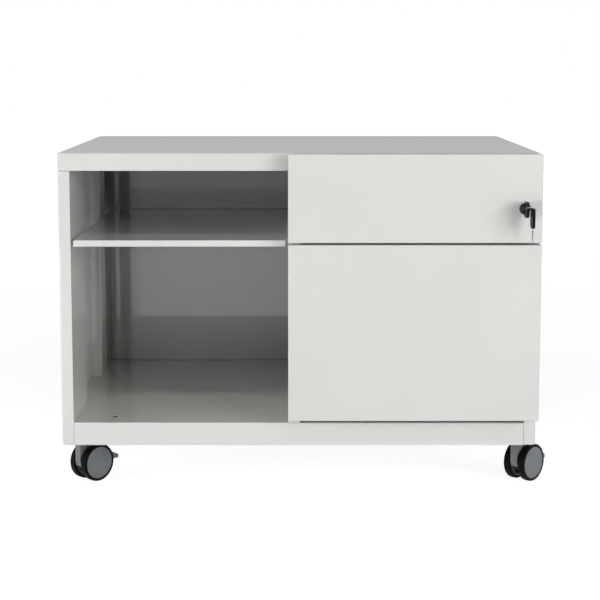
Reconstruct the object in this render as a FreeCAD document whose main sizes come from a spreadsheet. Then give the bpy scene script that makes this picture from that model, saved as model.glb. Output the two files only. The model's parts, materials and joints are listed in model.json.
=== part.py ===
import FreeCAD, Part
import os
import re
import Sketcher
from FreeCAD import Placement, Rotation, Vector

# Mobile filing cabinet in sheet steel: an open bay with a shelf on the left, a lockable top
# drawer and a filing drawer on the right, on four twin-wheel castors.
# +X is right seen from the front, +Y runs to the back, +Z is up, in millimetres.
# The origin is on the floor, under the middle of the whole, hanging key included.

doc = FreeCAD.newDocument("filing_cabinet")

sizes = {
    # carcass
    "carcass_width": 800,
    "carcass_depth": 536,
    "carcass_height": 495,
    "underside": 78,
    "sheet": 1.2,
    "flange": 20,
    "bend_radius": 3.5,
    "fascia_height": 30,
    "plinth_height": 39,
    "base_return": 84,
    "back_inset": 7,
    "upright_front": 168,
    "upright_back": 161,
    "bay_upright_width": 72,
    "bay_upright_recess": 81,
    "divider_left": -17.7,
    "divider_thickness": 20,
    "floor_hole_radius": 6.5,
    "floor_hole_side": 315,
    "floor_hole_front": 45.5,
    "floor_hole_pitch": 434.5,
    # shelf and its clips
    "shelf_rise": 310,
    "shelf_lip": 10.5,
    "shelf_bend_radius": 1.5,
    "shelf_depth": 515,
    "shelf_inset": 1,
    "shelf_side_gap": 4,
    "peg_radius": 2,
    "peg_clearance": 0.1,
    "peg_front": 115.5,
    "peg_back": 17.5,
    "peg_drop": 5,
    "peg_row_step": 77,
    "peg_row_rise": 33.5,
    "clip_width": 12,
    "clip_reach": 10,
    "clip_thickness": 1.5,
    "clip_height": 10,
    # counterweight under the filing drawer
    "weight_width": 330,
    "weight_depth": 300,
    "weight_thickness": 10,
    "weight_front": 140,
    # drawer fronts
    "front_thickness": 28,
    "front_gap": 1,
    "front_overhang": 0.3,
    "front_top_setback": 1,
    "top_front_height": 146.2,
    "front_split": 3.3,
    "filing_front_height": 296,
    "front_radius": 2,
    "grip_return": 18,
    "grip_width": 22,
    # drawer trays
    "tray_sheet": 1,
    "tray_depth": 500,
    "top_tray_rise": 10.2,
    "top_tray_drop": 46,
    "filing_tray_rise": 5.5,
    "filing_tray_drop": 22.5,
    "rail_width": 10,
    "rail_drop": 4,
    "rail_lip": 9,
    "rail_sheet": 1.5,
    # runners
    "runner_width": 12.7,
    "runner_height": 45,
    "runner_length": 480,
    "runner_setback": 8,
    "runner_steel": 1.2,
    "runner_clearance": 0.3,
    "cabinet_member_depth": 9.5,
    "middle_member_end": 11,
    "top_runner_rise": 24,
    "filing_runner_rise": 168,
    # lock, keys and locking bar
    "lock_side": 371,
    "lock_drop": 90,
    "bezel_radius": 9.5,
    "bezel_proud": 2,
    "barrel_radius": 8,
    "barrel_length": 24,
    "plug_radius": 5,
    "plug_proud": 0.3,
    "plug_clearance": 0.15,
    "tail_radius": 2,
    "tail_overlap": 1,
    "cam_half_width": 3.5,
    "cam_length": 20,
    "cam_thickness": 2,
    "cam_setback": 4,
    "cam_fit": 0.05,
    "key_head_length": 33,
    "key_head_width": 26,
    "key_head_thickness": 4.4,
    "key_blade_length": 21.2,
    "key_blade_width": 7,
    "key_blade_thickness": 1.8,
    "key_clearance": 0.2,
    "key_stand_off": 0.3,
    "key_hole_radius": 2.8,
    "key_hole_inset": 5.2,
    "key_pitch": 8.3,
    "spare_key_drop": 1.5,
    "ring_radius": 8.3,
    "ring_wire": 0.6,
    "ring_settle": 0.5,
    "bar_width": 12,
    "bar_thickness": 2,
    "bar_rise": 22,
    "bar_side_gap": 4,
    "bar_clearance": 0.3,
    "bar_lift": 8,
    "ear_width": 7,
    "ear_height": 8,
    "ear_thickness": 1.5,
    "hook_height": 8,
    "hook_reach": 2,
    "hook_drop": 2,
    "catch_drop": 24,
    "catch_height": 6,
    "catch_reach": 10,
    "catch_depth": 4,
    "catch_gap": 0.7,
    "guide_height": 20,
    "guide_cover": 8,
    "guide_tab": 10,
    "low_guide_rise": 33,
    "middle_guide_rise": 203,
    "high_guide_rise": 323,
    # castors
    "castor_side": 376,
    "castor_inset": 53,
    "castor_turn": 47,
    "wheel_radius": 32.5,
    "rim_radius": 27.5,
    "tyre_width": 13,
    "wheel_gap": 16,
    "rim_recess": 0.5,
    "rim_web": 5,
    "hub_radius": 8,
    "rim_wall": 3.5,
    "tyre_radius": 3,
    "trail": 23.5,
    "axle_radius": 3,
    "axle_clearance": 0.15,
    "stud_radius": 5.5,
    "stud_clearance": 0.15,
    "stud_wall": 2,
    "stud_bottom": 51,
    "collar_radius": 10,
    "plate_length": 60,
    "plate_width": 42,
    "plate_thickness": 3,
    "screw_radius": 2.5,
    "screw_head_radius": 4.5,
    "screw_head_height": 2.5,
    "screw_inset": 8,
    "screw_clearance": 0.1,
    "housing_width": 13.4,
    "housing_radius": 28.5,
    "housing_bottom": 27,
    "neck_radius": 11,
    "neck_bottom": 66,
    "neck_gap": 0.3,
    "collar_gap": 2,
    "housing_back": 8,
    "pedal_pivot_reach": 15,
    "pedal_pivot_height": 41,
    "pedal_eye_radius": 4.5,
    "pedal_neck_width": 9.4,
    "pedal_neck_bottom": 35,
    "pedal_slot_clearance": 0.3,
    "pedal_pin_radius": 2,
    "pedal_start": 37,
    "pedal_end": 54,
    "pedal_width": 26,
    "pedal_tip_width": 16,
    "pedal_bottom": 31,
    "pedal_top": 43,
    "pedal_tip_bottom": 29,
    "pedal_tip_top": 35,
}

# Places worked out from the sizes above, in the words of the sheet.
places = {
    "half_width": "carcass_width / 2",
    "key_reach": "bezel_proud + plug_proud + key_stand_off + key_head_length - key_hole_inset"
                 " + key_head_width / 2",
    "front_plane": "(key_reach + front_thickness + front_gap - carcass_depth) / 2",
    "rear_plane": "front_plane + carcass_depth",
    "front_back": "front_plane - front_gap",
    "front_face": "front_back - front_thickness",
    "carcass_top": "underside + carcass_height",
    "side_top": "carcass_top - fascia_height",
    "floor_top": "underside + plinth_height",
    "inner_side": "half_width - flange",
    "wall_inside": "half_width - sheet",
    "back_inner": "rear_plane - back_inset",
    "bay_upright_end": "back_inner - bay_upright_recess",
    "divider_right": "divider_left + divider_thickness",
    "shelf_top": "floor_top + shelf_rise",
    "shelf_bottom": "shelf_top - shelf_lip",
    "front_top": "carcass_top - front_top_setback",
    "top_front_bottom": "front_top - top_front_height",
    "filing_front_top": "top_front_bottom - front_split",
    "filing_front_bottom": "filing_front_top - filing_front_height",
    "front_right": "half_width + front_overhang",
    "tray_left": "divider_right + runner_width",
    "tray_right": "inner_side - runner_width",
    "tray_back": "front_back + tray_depth",
    "top_tray_bottom": "top_front_bottom + top_tray_rise",
    "top_tray_top": "front_top - top_tray_drop",
    "filing_tray_bottom": "filing_front_bottom + filing_tray_rise",
    "filing_tray_top": "filing_front_top - filing_tray_drop",
    "runner_front": "front_plane + runner_setback",
    "top_runner_centre": "top_tray_bottom + top_runner_rise",
    "filing_runner_centre": "filing_tray_bottom + filing_runner_rise",
    "lock_height": "carcass_top - lock_drop",
    "plug_face": "front_face - bezel_proud - plug_proud",
    "barrel_back": "front_face + barrel_length",
    "cam_front": "front_plane + cam_setback",
    "cam_back": "cam_front + cam_thickness",
    "key_centre": "plug_face - key_stand_off - key_head_length / 2",
    "key_hole": "key_centre - key_head_length / 2 + key_hole_inset",
    "spare_side": "lock_side + key_pitch",
    "spare_hole_height": "lock_height - spare_key_drop",
    "spare_centre": "spare_hole_height + key_hole_inset - key_head_length / 2",
    "bar_front": "cam_back + bar_clearance",
    "bar_back": "bar_front + bar_thickness",
    "bar_left": "inner_side + bar_side_gap",
    "bar_right": "bar_left + bar_width",
    "bar_top": "lock_height + bar_rise",
    "lane_back": "bar_back + bar_clearance",
    "ear_bottom": "lock_height + cam_half_width + bar_clearance - bar_lift",
    "catch_bottom": "filing_tray_top - catch_drop",
    "hook_top": "catch_bottom - hook_drop",
    "hook_bottom": "hook_top - hook_height",
    "hook_left": "tray_right + hook_reach",
    "castor_front": "front_plane + castor_inset",
    "castor_back": "rear_plane - castor_inset",
    "plate_bottom": "underside + sheet",
    "plate_top": "plate_bottom + plate_thickness",
    "plate_side": "half_width - sheet - plate_width / 2",
    "screw_reach": "plate_length / 2 - screw_inset",
    "housing_top": "underside - collar_gap",
    "pivot_reach": "trail + pedal_pivot_reach",
    "wheel_inside": "wheel_gap / 2",
    "wheel_outside": "wheel_inside + tyre_width",
    "rim_outside": "wheel_outside - rim_recess",
    "axle_end": "rim_outside - rim_web / 2",
}

sheet = doc.addObject("Spreadsheet::Sheet", "Sizes")
for row, (alias, value) in enumerate(sizes.items(), 1):
    sheet.set(f"A{row}", alias)
    sheet.set(f"B{row}", str(value))
    sheet.setAlias(f"B{row}", alias)
doc.recompute()

nodes = []
touch = 0.1  # how near two places count as one
along = {
    "x": Rotation(Vector(0, 1, 0), 90),
    "y": Rotation(Vector(1, 0, 0), -90),
    "z": Rotation(),
}


def formula(text):
    """Writes a size rule in the sheet's own terms, with each place spelled out."""
    def term(match):
        word = match.group(0)
        if word in places:
            return "(" + formula(places[word]) + ")"
        return "Sizes." + word
    return re.sub(r"[a-z][a-z_]*", term, str(text))


def number(text):
    """The present value of a size rule."""
    return float(sheet.evalExpression(formula(text)))


def bind(item, prop, text):
    item.setExpression(prop, formula(text))


def both(half):
    """A stretch as far to the left as to the right of the middle."""
    return (f"-({half})", f"{half}")


def less(text, amount):
    return f"({text}) - ({amount})"


def more(text, amount):
    return f"({text}) + ({amount})"


def box(name, x, y, z):
    item = doc.addObject("Part::Box", name)
    for prop, axis, (start, end) in zip(("Length", "Width", "Height"), "xyz", (x, y, z)):
        bind(item, "Placement.Base." + axis, start)
        bind(item, prop, less(end, start))
    return item


def rod(name, x, y, z, radius):
    """A cylinder along the one direction that is given as a (start, end) pair."""
    item = doc.addObject("Part::Cylinder", name)
    spans = dict(zip("xyz", (x, y, z)))
    axis = next(key for key, span in spans.items() if isinstance(span, tuple))
    item.Placement = Placement(Vector(), along[axis])
    start, end = spans[axis]
    spans[axis] = start
    for key, place in spans.items():
        bind(item, "Placement.Base." + key, place)
    bind(item, "Height", less(end, start))
    bind(item, "Radius", radius)
    return item


def join(name, *items):
    item = doc.addObject("Part::MultiFuse", name)
    item.Shapes = list(items)
    item.Refine = True
    return item


def cut(name, base, *tools):
    item = doc.addObject("Part::Cut", name)
    item.Base = base
    item.Tool = tools[0] if len(tools) == 1 else join(name + "_openings", *tools)
    item.Refine = True
    return item


def group(name, items):
    """Separate solids that are kept under one name."""
    item = doc.addObject("Part::Compound", name)
    item.Links = list(items)
    return item


def rounded(name, item, radius, chosen):
    """Rounds the edges for which chosen(middle, bounds, edge) holds."""
    doc.recompute()
    bounds = item.Shape.BoundBox
    fillet = doc.addObject("Part::Fillet", name)
    fillet.Base = item
    fillet.Edges = [
        (index, radius, radius)
        for index, edge in enumerate(item.Shape.Edges, 1)
        if chosen(edge.CenterOfMass, bounds, edge)
    ]
    return fillet


def pan(name, x, y, z, mouth, wall="sheet", bends=None, radius=0):
    """A folded tray: a box with walls all round but for the mouth, such as '-z'."""
    inner = []
    for axis, (start, end) in zip("xyz", (x, y, z)):
        inner.append((
            less(start, 1) if mouth == "-" + axis else more(start, wall),
            more(end, 1) if mouth == "+" + axis else less(end, wall),
        ))
    outside = box(name + "_outside", x, y, z)
    inside = box(name + "_inside", *inner)
    if bends:
        outside = rounded(name + "_outer_bend", outside, radius, bends)
        inside = rounded(name + "_inner_bend", inside, radius - number(wall), bends)
    return cut(name + "_shell", outside, inside)


def padded(name, plane, corners, length, back=False):
    """A body padded from a closed outline whose corners are bound to the sheet."""
    body = doc.addObject("PartDesign::Body", name + "_body")
    sketch = body.newObject("Sketcher::SketchObject", name + "_outline")
    support = next(item for item in body.Origin.OriginFeatures if item.Role == plane)
    sketch.AttachmentSupport = [(support, "")]
    sketch.MapMode = "FlatFace"
    points = [Vector(number(u), number(v), 0) for u, v in corners]
    count = len(points)
    sketch.addGeometry([
        Part.LineSegment(points[index], points[(index + 1) % count]) for index in range(count)
    ])
    for index in range(count):
        sketch.addConstraint(
            Sketcher.Constraint("Coincident", index, 2, (index + 1) % count, 1))
    for index, corner in enumerate(corners):
        for kind, text, value in zip(("DistanceX", "DistanceY"), corner, points[index]):
            at = sketch.addConstraint(Sketcher.Constraint(kind, -1, 1, index, 1, value))
            bind(sketch, f"Constraints[{at}]", text)
    pad = body.newObject("PartDesign::Pad", name + "_pad")
    pad.Profile = sketch
    bind(pad, "Length", length)
    pad.Reversed = back
    body.Tip = pad
    return body


def moved(item, x="0", y="0", z="0", turn=None):
    item.Placement = Placement(Vector(), turn or Rotation())
    for axis, place in zip("xyz", (x, y, z)):
        bind(item, "Placement.Base." + axis, place)
    return item


def node(name, item):
    """Gives a finished piece its own name."""
    item.Label = name
    nodes.append(item)
    return item


def upright_edges(middle, bounds, edge):
    return abs(edge.tangentAt(edge.FirstParameter).z) > 0.9


# --- carcass -----------------------------------------------------------------------------

full_depth = ("front_plane", "rear_plane")
inner_depth = ("front_plane + sheet", "rear_plane - sheet")
inner_radius = sizes["bend_radius"] - sizes["sheet"]


def top_panel():
    """The lid: a pan turned down all round, whose front side is the fascia."""
    def bends(middle, bounds, edge):
        return middle.z > bounds.ZMin + touch
    node("top_panel", pan("top_panel", both("half_width"), full_depth,
                          ("side_top", "carcass_top"), "-z", bends=bends,
                          radius=sizes["bend_radius"]))
    ceiling = box("ceiling_sheet", both("wall_inside"), inner_depth,
                  ("side_top", "side_top + sheet"))
    node("ceiling_panel", rounded("ceiling_panel", ceiling, inner_radius, upright_edges))


def stud_holes(name, side):
    return [
        rod(f"{name}_stud_hole_{index}", side, place, ("underside - 1", "plate_bottom + 1"),
            "stud_radius + stud_clearance")
        for index, place in enumerate(("castor_front", "castor_back"))
    ]


def screw_holes(name, side):
    """Two screws go through each castor plate, in front of and behind its stud."""
    sign = "-" if side < 0 else ""
    return [
        rod(f"{name}_screw_hole", f"{sign}(plate_side)", f"{castor} {way} (screw_reach)",
            ("underside - 1", "plate_bottom + 1"), "screw_radius + screw_clearance")
        for castor in ("castor_front", "castor_back") for way in "-+"
    ]


def side_panel(name, side):
    """A side wall with its four edges turned in."""
    x = ("-(half_width)", "-(inner_side)") if side < 0 else ("inner_side", "half_width")

    def bends(middle, bounds, edge):
        outer = bounds.XMin if side < 0 else bounds.XMax
        return upright_edges(middle, bounds, edge) and abs(middle.x - outer) < touch

    shell = pan(name, x, full_depth, ("underside", "side_top"), "+x" if side < 0 else "-x",
                bends=bends, radius=sizes["bend_radius"])
    holes = stud_holes(name, "-(castor_side)" if side < 0 else "castor_side")
    node(name, cut(name, shell, *holes, *screw_holes(name, side)))


def base_pan():
    """Bay floor and plinth in one sheet, with returns that carry the castors."""
    floor = box("base_floor", both("wall_inside"), inner_depth, ("floor_top - sheet", "floor_top"))
    floor = rounded("base_floor_corners", floor, inner_radius, upright_edges)
    rails = [
        box("base_front_rail", both("inner_side"), ("front_plane", "front_plane + sheet"),
            ("underside", "floor_top")),
        box("base_back_rail", both("inner_side"), ("rear_plane - sheet", "rear_plane"),
            ("underside", "floor_top")),
        box("base_front_return", both("inner_side"),
            ("front_plane", "front_plane + base_return"), ("underside", "plate_bottom")),
        box("base_back_return", both("inner_side"),
            ("rear_plane - base_return", "rear_plane"), ("underside", "plate_bottom")),
    ]
    folded = join("base_folded", floor, *rails)

    def front_fold(middle, bounds, edge):
        return middle.z > bounds.ZMax - touch and middle.y < bounds.YMin + touch
    folded = rounded("base_fold", folded, sizes["sheet"], front_fold)
    holes = []
    for side in ("-", ""):
        for index, place in enumerate(("front_plane + floor_hole_front",
                                       "front_plane + floor_hole_front + floor_hole_pitch")):
            holes.append(rod(f"floor_hole_{index}", f"{side}(floor_hole_side)", place,
                             ("floor_top - 2 * sheet", "floor_top + 1"), "floor_hole_radius"))
        holes.extend(stud_holes("base", f"{side}(castor_side)"))
    holes.extend(screw_holes("base", -1) + screw_holes("base", 1))
    node("base_pan", cut("base_pan", folded, *holes))


def back_panel():
    node("back_panel", pan("back_panel", both("inner_side"), ("back_inner", "rear_plane"),
                           ("floor_top", "side_top"), "+y"))


def peg_rows():
    """Heights of the shelf positions, from the lowest up."""
    used = "shelf_bottom - peg_drop"
    return [f"{used} - 2 * peg_row_step", f"{used} - peg_row_step", used,
            f"{used} + peg_row_rise"]


def peg_columns():
    return ["front_plane + peg_front", "bay_upright_end - peg_back"]


def divider_panel():
    """A double wall between the bay and the drawers, with the shelf's peg holes."""
    outside = box("divider_outside", ("divider_left", "divider_right"),
                  ("front_plane", "back_inner"), ("floor_top", "side_top"))
    inside = box("divider_inside", ("divider_left + sheet", "divider_right - sheet"),
                 ("front_plane + sheet", "back_inner - sheet"),
                 ("floor_top - 1", "side_top + 1"))
    holes = [
        rod("divider_peg_hole", ("divider_left - 1", "divider_left + 2 * sheet"), column, row,
            "peg_radius + peg_clearance")
        for column in peg_columns() for row in peg_rows()
    ]
    node("divider_panel", cut("divider_panel", outside, inside, *holes))


def upright_pair(side, front_start, back_strip):
    """The front and back liner strips on a side wall. One clear of the back is turned in twice."""
    sign = "-" if side < 0 else ""
    web = (("-(inner_side) - sheet", "-(inner_side)") if side < 0
           else ("inner_side", "inner_side + sheet"))
    turn = (("-(wall_inside)", "-(inner_side)") if side < 0
            else ("inner_side", "wall_inside"))
    tall = ("floor_top", "side_top - sheet")
    front_end = "front_plane + upright_front"
    back_start, back_end = back_strip
    front = join(f"front_upright{sign}",
                 box("front_web", web, (front_start, front_end), tall),
                 box("front_turn", turn, (less(front_end, "sheet"), front_end), tall))
    back_parts = [box("back_web", web, back_strip, tall),
                  box("back_turn", turn, (back_start, more(back_start, "sheet")), tall)]
    if back_end != "back_inner":
        back_parts.append(box("back_return", turn, (less(back_end, "sheet"), back_end), tall))
    return front, join(f"back_upright{sign}", *back_parts)


def bay_uprights():
    front, back = upright_pair(-1, "front_plane + sheet",
                               ("bay_upright_end - bay_upright_width", "bay_upright_end"))
    strips = []
    for name, strip, column in zip(("bay_front", "bay_back"), (front, back), peg_columns()):
        holes = [
            rod(name + "_peg_hole", ("-(inner_side) - 2 * sheet", "-(inner_side) + 1"),
                column, row, "peg_radius + peg_clearance")
            for row in peg_rows()
        ]
        strips.append(cut(name + "_upright", strip, *holes))
    node("bay_uprights", group("bay_uprights", strips))


def bar_guide(name, low):
    """A strap that holds the locking bar: a tab on the upright, then round behind the bar."""
    tall = (low, more(low, "guide_height"))
    across = ("inner_side + sheet", "bar_right + bar_clearance + sheet")
    return join(name,
                box("guide_tab", ("inner_side + sheet", "inner_side + 2 * sheet"),
                    ("lane_back", "lane_back + guide_tab"), tall),
                box("guide_back", across, ("lane_back", "lane_back + sheet"), tall),
                box("guide_side", ("bar_right + bar_clearance", across[1]),
                    ("bar_front - bar_clearance - sheet", "lane_back + sheet"), tall),
                box("guide_front", ("bar_right - guide_cover", across[1]),
                    ("bar_front - bar_clearance - sheet", "bar_front - bar_clearance"), tall))


def drawer_uprights():
    """The strips beside the drawers. The front one leaves a lane for the bar and the cam."""
    strips = upright_pair(1, "lane_back", ("back_inner - upright_back", "back_inner"))
    guides = [bar_guide(rise.replace("_rise", ""), "floor_top + " + rise)
              for rise in ("low_guide_rise", "middle_guide_rise", "high_guide_rise")]
    node("drawer_uprights", group("drawer_uprights", [*strips, *guides]))


# --- shelf and counterweight -----------------------------------------------------------------

def shelf():
    def bends(middle, bounds, edge):
        return middle.z > bounds.ZMax - touch
    node("shelf", pan("shelf",
                      ("-(inner_side) + shelf_side_gap", "divider_left - shelf_side_gap"),
                      ("front_plane + shelf_inset", "front_plane + shelf_inset + shelf_depth"),
                      ("shelf_bottom", "shelf_top"), "-z", bends=bends,
                      radius=sizes["shelf_bend_radius"]))


def shelf_clips():
    """Four angle clips: a peg in the wall and a tongue under the shelf."""
    clips = []
    for column in peg_columns():
        y = (less(column, "clip_width / 2"), more(column, "clip_width / 2"))
        plate_z = ("shelf_bottom - clip_height", "shelf_bottom")
        tongue_z = ("shelf_bottom - clip_thickness", "shelf_bottom")
        row = "shelf_bottom - peg_drop"
        left = "-(inner_side)"
        right = "divider_left"
        clips.append(join("left_clip",
                          box("plate", (left, more(left, "clip_thickness")), y, plate_z),
                          box("tongue", (left, more(left, "clip_reach")), y, tongue_z),
                          rod("peg", (less(left, "2 * sheet"), left), column, row, "peg_radius")))
        clips.append(join("right_clip",
                          box("plate", (less(right, "clip_thickness"), right), y, plate_z),
                          box("tongue", (less(right, "clip_reach"), right), y, tongue_z),
                          rod("peg", (right, more(right, "2 * sheet")), column, row,
                              "peg_radius")))
    node("shelf_clips", group("shelf_clips", clips))


def counterweight():
    """A steel slab on the floor under the filing drawer, which keeps an open drawer from tipping."""
    middle = "(divider_right + inner_side) / 2"
    node("counterweight", box("counterweight",
                              (less(middle, "weight_width / 2"), more(middle, "weight_width / 2")),
                              ("front_plane + weight_front",
                               "front_plane + weight_front + weight_depth"),
                              ("floor_top", "floor_top + weight_thickness")))


# --- drawers -----------------------------------------------------------------------------

def drawer_front(name, bottom, top):
    """The outer skin: a pan whose left return is shorter and leaves room for the fingers."""
    def bends(middle, bounds, edge):
        along_depth = abs(edge.tangentAt(edge.FirstParameter).y) > 0.9
        return along_depth or middle.y < bounds.YMin + touch
    shell = pan(name, ("divider_left", "front_right"), ("front_face", "front_back"),
                (bottom, top), "+y", bends=bends, radius=sizes["front_radius"])
    gap = box(name + "_grip_gap", ("divider_left - 1", "divider_left + grip_width"),
              ("front_face + grip_return", "front_back + 1"),
              (less(bottom, "1"), more(top, "1")))
    tools = [gap]
    if name.startswith("top"):
        tools.append(rod("barrel_hole", "lock_side", ("front_face - 1", "front_face + 2 * sheet"),
                         "lock_height", "barrel_radius + plug_clearance"))
    node(name, cut(name, shell, *tools))


def drawer_liner(name, bottom, top):
    """The inner skin: it closes the front's back and forms the finger channel."""
    inside = (more(bottom, "sheet"), less(top, "sheet"))
    channel = "divider_left + grip_width"
    plate = box(name + "_plate", (channel, "front_right - sheet"),
                ("front_back - sheet", "front_back"), inside)

    def right_corners(middle, bounds, edge):
        along_depth = abs(edge.tangentAt(edge.FirstParameter).y) > 0.9
        return along_depth and middle.x > bounds.XMax - touch
    plate = rounded(name + "_corners", plate, sizes["front_radius"] - sizes["sheet"],
                    right_corners)
    web = box(name + "_web", (channel, more(channel, "sheet")),
              ("front_face + front_radius", "front_back"), inside)
    liner = join(name + "_folded", plate, web)
    if name.startswith("top"):
        hole = rod("tail_hole", "lock_side", ("front_back - 2 * sheet", "front_back + 1"),
                   "lock_height", "tail_radius + plug_clearance")
        liner = cut(name, liner, hole)
    node(name, liner)


def drawer_tray(name, bottom, top):
    """Five welded sheets: a bottom, two sides, and a front and a back between them."""
    wide = ("tray_left", "tray_right")
    deep = ("front_back", "tray_back")
    between = ("tray_left + tray_sheet", "tray_right - tray_sheet")
    tall = (more(bottom, "tray_sheet"), top)
    sheets = [
        box("tray_bottom", wide, deep, (bottom, more(bottom, "tray_sheet"))),
        box("tray_left_side", ("tray_left", between[0]), deep, tall),
        box("tray_right_side", (between[1], "tray_right"), deep, tall),
        box("tray_front", between, ("front_back", "front_back + tray_sheet"), tall),
        box("tray_back", between, ("tray_back - tray_sheet", "tray_back"), tall),
    ]
    if name.startswith("filing"):
        sheets.append(box("catch", ("tray_right", "tray_right + catch_reach"),
                          ("bar_back + catch_gap", "bar_back + catch_gap + catch_depth"),
                          ("catch_bottom", "catch_bottom + catch_height")))
    node(name, group(name, sheets))


def hanging_rails():
    """Two angles along the tray's top edges that carry the hooks of hanging files."""
    top = "filing_tray_top - rail_drop"
    y = ("front_back + tray_sheet", "tray_back - tray_sheet")
    rails = []
    for name, wall, way in (("left", "tray_left + tray_sheet", more),
                            ("right", "tray_right - tray_sheet", less)):
        edge = way(wall, "rail_width")
        inner = way(wall, "rail_width - rail_sheet")
        flat = sorted((wall, edge), key=number)
        lip = sorted((inner, edge), key=number)
        rails.append(join(name + "_rail",
                          box("rail_flat", tuple(flat), y, (less(top, "rail_sheet"), top)),
                          box("rail_lip", tuple(lip), y,
                              (less(top, "rail_sheet"), more(top, "rail_lip")))))
    node("hanging_rails", group("hanging_rails", rails))


def runner_profile(back, end, half_height, mouth_in):
    """A channel's corners, with its web at back or, for the drawer's member, at end."""
    steel = "runner_steel"
    web = less(end, steel) if mouth_in else more(back, steel)
    half = f"({half_height})"
    inner = f"({half_height} - {steel})"
    if mouth_in:
        return [(back, f"-{half}"), (end, f"-{half}"), (end, half), (back, half),
                (back, inner), (web, inner), (web, f"-{inner}"), (back, f"-{inner}")]
    return [(back, f"-{half}"), (end, f"-{half}"), (end, f"-{inner}"), (web, f"-{inner}"),
            (web, inner), (end, inner), (end, half), (back, half)]


def runner_members(drawer, centre):
    """Left and right telescopic runners: one channel on the carcass, a middle one, and one on
    the tray. Each nests in the last with the same running clearance."""
    middle_back = "runner_steel + runner_clearance"
    drawer_back = "2 * runner_steel + 2 * runner_clearance"
    middle_half = "runner_height / 2 - runner_steel - runner_clearance"
    drawer_half = "runner_height / 2 - 2 * runner_steel - 2 * runner_clearance"
    members = {
        "cabinet": runner_profile("0", "cabinet_member_depth", "runner_height / 2", False),
        "middle": runner_profile(middle_back, "middle_member_end", middle_half, False),
        "drawer": runner_profile(drawer_back, "runner_width", drawer_half, True),
    }
    for part, corners in members.items():
        left = moved(padded(f"{drawer}_{part}_left", "XZ_Plane", corners, "runner_length", True),
                     "divider_right", "runner_front", centre)
        turned = [(f"-({u})", v) for u, v in reversed(corners)]
        right = moved(padded(f"{drawer}_{part}_right", "XZ_Plane", turned, "runner_length", True),
                      "inner_side", "runner_front", centre)
        name = f"{drawer}_{part}_runner_members"
        node(name, group(name, [left, right]))


# --- lock --------------------------------------------------------------------------------

def lock_housing():
    bezel = rod("bezel", "lock_side", ("front_face - bezel_proud", "front_face"), "lock_height",
                "bezel_radius")
    barrel = rod("barrel", "lock_side", ("front_face - bezel_proud / 2", "barrel_back"),
                 "lock_height", "barrel_radius")
    bore = rod("plug_bore", "lock_side", ("front_face - bezel_proud - 1", "barrel_back + 1"),
               "lock_height", "plug_radius + plug_clearance")
    node("lock_housing", cut("lock_housing", join("lock_body", bezel, barrel), bore))


def lock_plug():
    """The turning cylinder with its key slot and the tail that carries the cam."""
    plug = rod("plug_core", "lock_side", ("plug_face", "barrel_back"), "lock_height",
               "plug_radius")
    tail = rod("plug_tail", "lock_side", ("barrel_back - tail_overlap", "cam_back"), "lock_height",
               "tail_radius")
    slot = box("key_slot",
               ("lock_side - key_blade_thickness / 2 - key_clearance",
                "lock_side + key_blade_thickness / 2 + key_clearance"),
               ("plug_face - 1", "plug_face + key_blade_length + key_clearance"),
               ("lock_height - key_blade_width / 2 - key_clearance",
                "lock_height + key_blade_width / 2 + key_clearance"))
    node("lock_plug", cut("lock_plug", join("plug_and_tail", plug, tail), slot))


def lock_cam():
    """The tongue on the plug's tail: down when open, behind the side flange when locked."""
    tongue = box("cam_tongue", ("lock_side - cam_half_width", "lock_side + cam_half_width"),
                 ("cam_front", "cam_back"), ("lock_height - cam_length", "lock_height"))
    head = rod("cam_head", "lock_side", ("cam_front", "cam_back"), "lock_height",
               "cam_half_width")
    hole = rod("cam_hole", "lock_side", ("cam_front - 1", "cam_back + 1"), "lock_height",
               "tail_radius + cam_fit")
    node("lock_cam", cut("lock_cam", join("cam_outline", tongue, head), hole))


def key_solid(name):
    """A key lying along X: an oval head about the origin, and the blade to its right."""
    oval = doc.addObject("Part::Ellipse", name + "_oval")
    bind(oval, "MajorRadius", "key_head_length / 2")
    bind(oval, "MinorRadius", "key_head_width / 2")
    head = doc.addObject("Part::Extrusion", name + "_head")
    head.Base = oval
    head.DirMode = "Custom"
    head.Dir = Vector(0, 0, 1)
    head.Solid = True
    head.Symmetric = True
    bind(head, "LengthFwd", "key_head_thickness")
    blade = box(name + "_blade",
                ("key_head_length / 2 - key_blade_width / 2",
                 "key_head_length / 2 + key_blade_length"),
                both("key_blade_width / 2"), both("key_blade_thickness / 2"))
    hole = rod(name + "_hole", "key_hole_inset - key_head_length / 2", "0",
               both("key_head_thickness"), "key_hole_radius")
    return cut(name, join(name + "_whole", head, blade), hole)


def keys():
    """One key in the lock, and a spare that hangs on its ring."""
    into_lock = Rotation(Vector(0, 1, 0), Vector(0, 0, 1), Vector(1, 0, 0))
    hanging = Rotation(Vector(0, 0, -1), Vector(0, 1, 0), Vector(1, 0, 0))
    node("lock_key", moved(key_solid("lock_key"), "lock_side", "key_centre", "lock_height",
                           into_lock))
    node("spare_key", moved(key_solid("spare_key"), "spare_side", "key_hole", "spare_centre",
                            hanging))
    node("key_ring", key_ring())


def key_ring():
    """The ring passes through both holes and round the heads' ends, up and away from the lock."""
    ring = doc.addObject("Part::Torus", "key_ring")
    bind(ring, "Radius1", "ring_radius")
    bind(ring, "Radius2", "ring_wire")
    first = Vector(number("lock_side"), number("key_hole"), number("lock_height"))
    second = Vector(number("spare_side"), number("key_hole"), number("spare_hole_height"))
    chord = second - first
    axis = chord.cross(Vector(0, -2, 1)).normalize()
    outward = axis.cross(chord).normalize()
    to_centre = (number("ring_radius") ** 2 - (chord.Length / 2) ** 2) ** 0.5
    centre = (first + second) / 2 + outward * (to_centre - number("ring_settle"))
    ring.Placement = Placement(centre, Rotation(Vector(0, 0, 1), axis))
    return ring


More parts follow.
